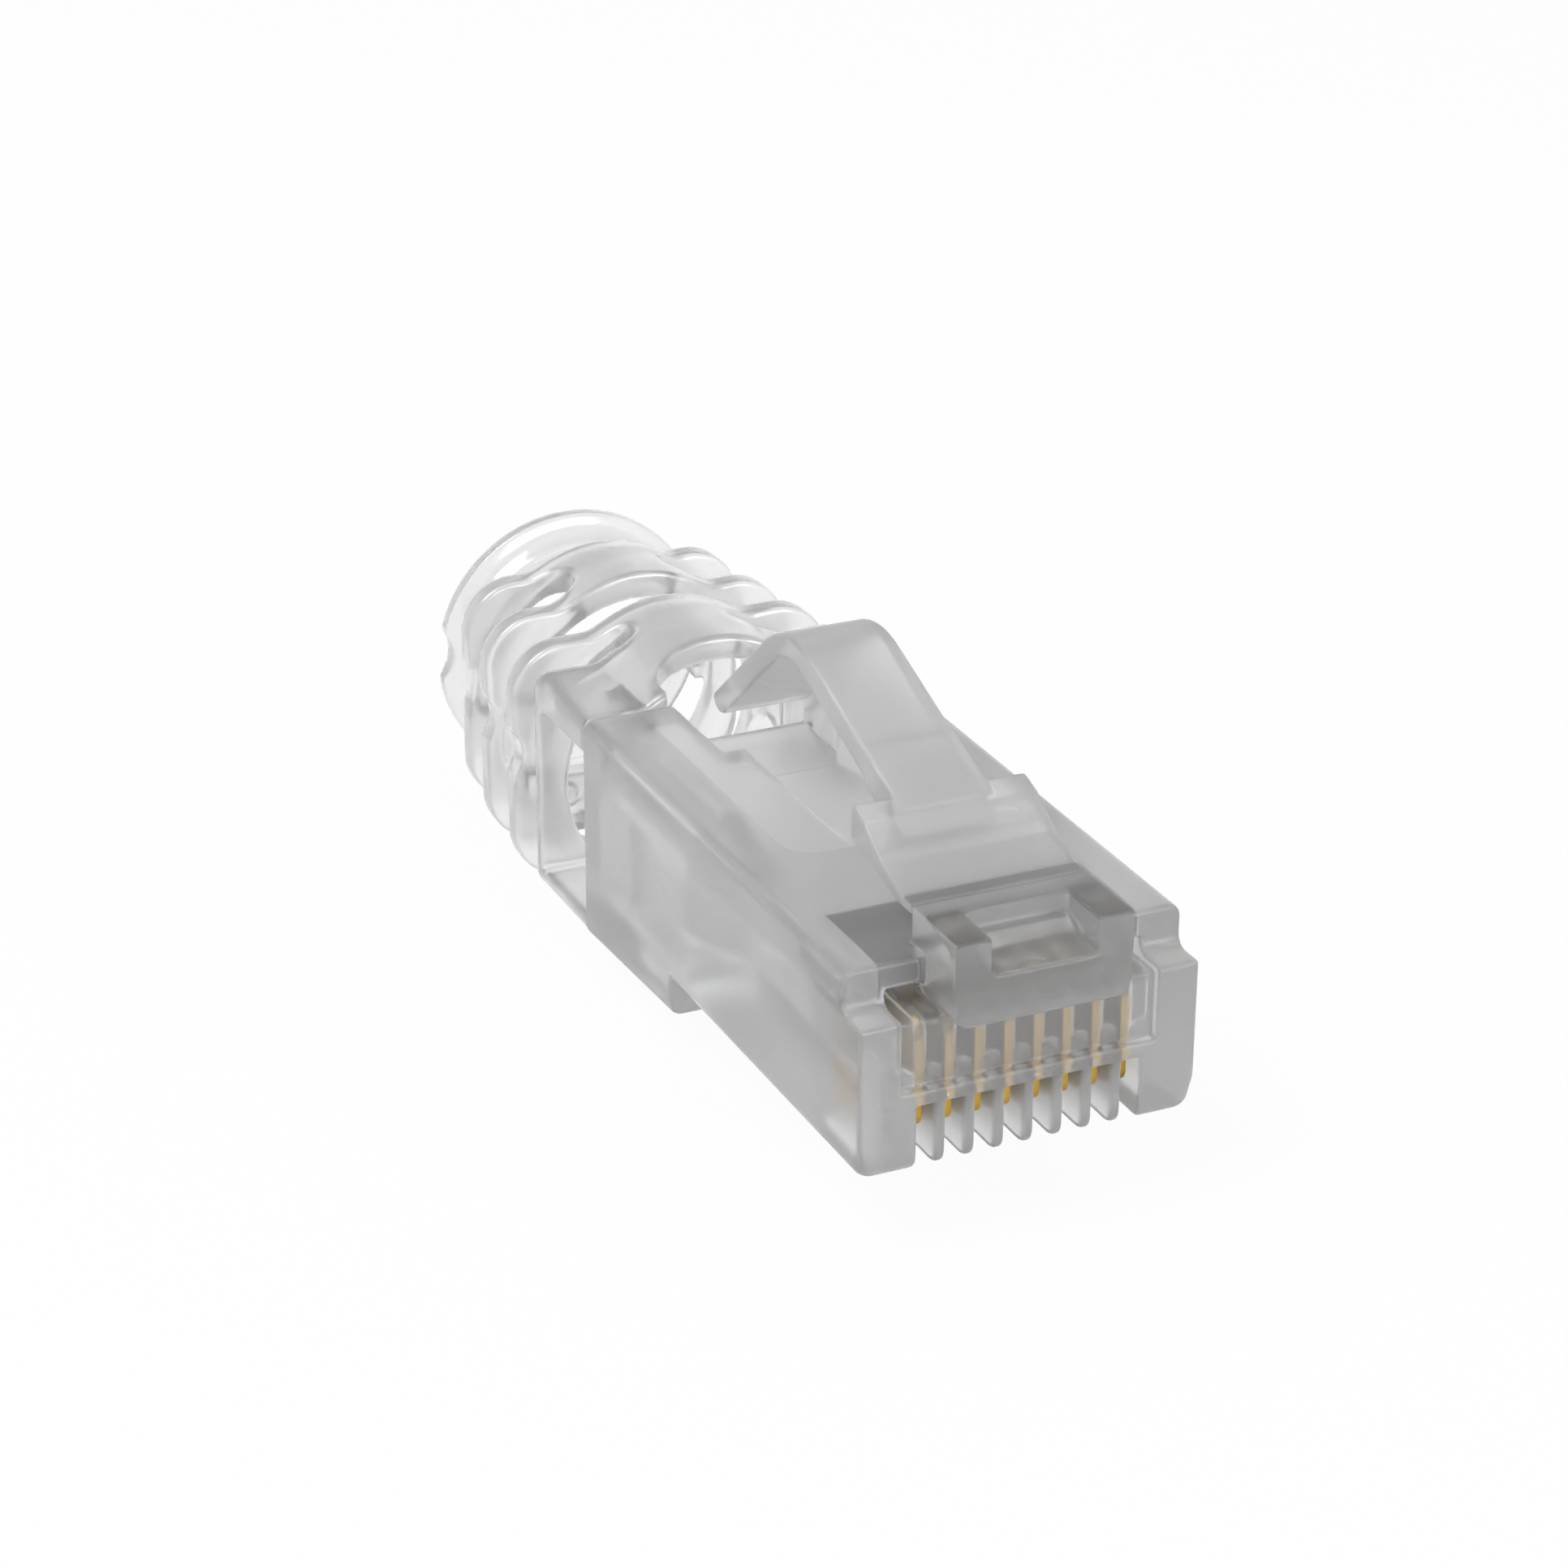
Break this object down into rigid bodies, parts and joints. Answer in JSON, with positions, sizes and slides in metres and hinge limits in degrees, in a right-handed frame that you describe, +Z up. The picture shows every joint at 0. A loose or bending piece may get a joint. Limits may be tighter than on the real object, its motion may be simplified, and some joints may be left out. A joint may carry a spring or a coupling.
{
  "type": "rj45 modular plug",
  "caption": "Eight-way modular data plug: clear body with a comb of gold contact blades, sprung release latch and a ribbed clear bend-relief boot with a round cable bore.",
  "frame": {"origin": "middle of the underside of the whole plug: centred across its width and along its length, at the lowest point of the boot flange", "axes": "+X across the plug, +Y along the plug from its nose to the cable end of the boot, +Z up from the contact side to the latch side"},
  "size_m": [0.0122, 0.0388, 0.0148],
  "materials": {
    "frosted_body": "frosted clear polycarbonate",
    "clear_boot": "smooth clear soft plastic",
    "gold_contact": "gold plated"
  },
  "bodies": {
    "plug": {"housing": "frosted_body", "boot": "clear_boot", "contact_1": "gold_contact", "contact_2": "gold_contact", "contact_3": "gold_contact", "contact_4": "gold_contact", "contact_5": "gold_contact", "contact_6": "gold_contact", "contact_7": "gold_contact", "contact_8": "gold_contact"},
    "latch_arm": {"latch": "frosted_body"}
  },
  "joints": [
    {"name": "latch_flex", "type": "hinge", "parent": "plug", "child": "latch_arm", "pos_m": [0, -0.01622, 0.01044], "axis": [-1, 0, 0], "range_deg": [0, 5.5], "stiffness_Nm_per_rad": 0.02}
  ]
}
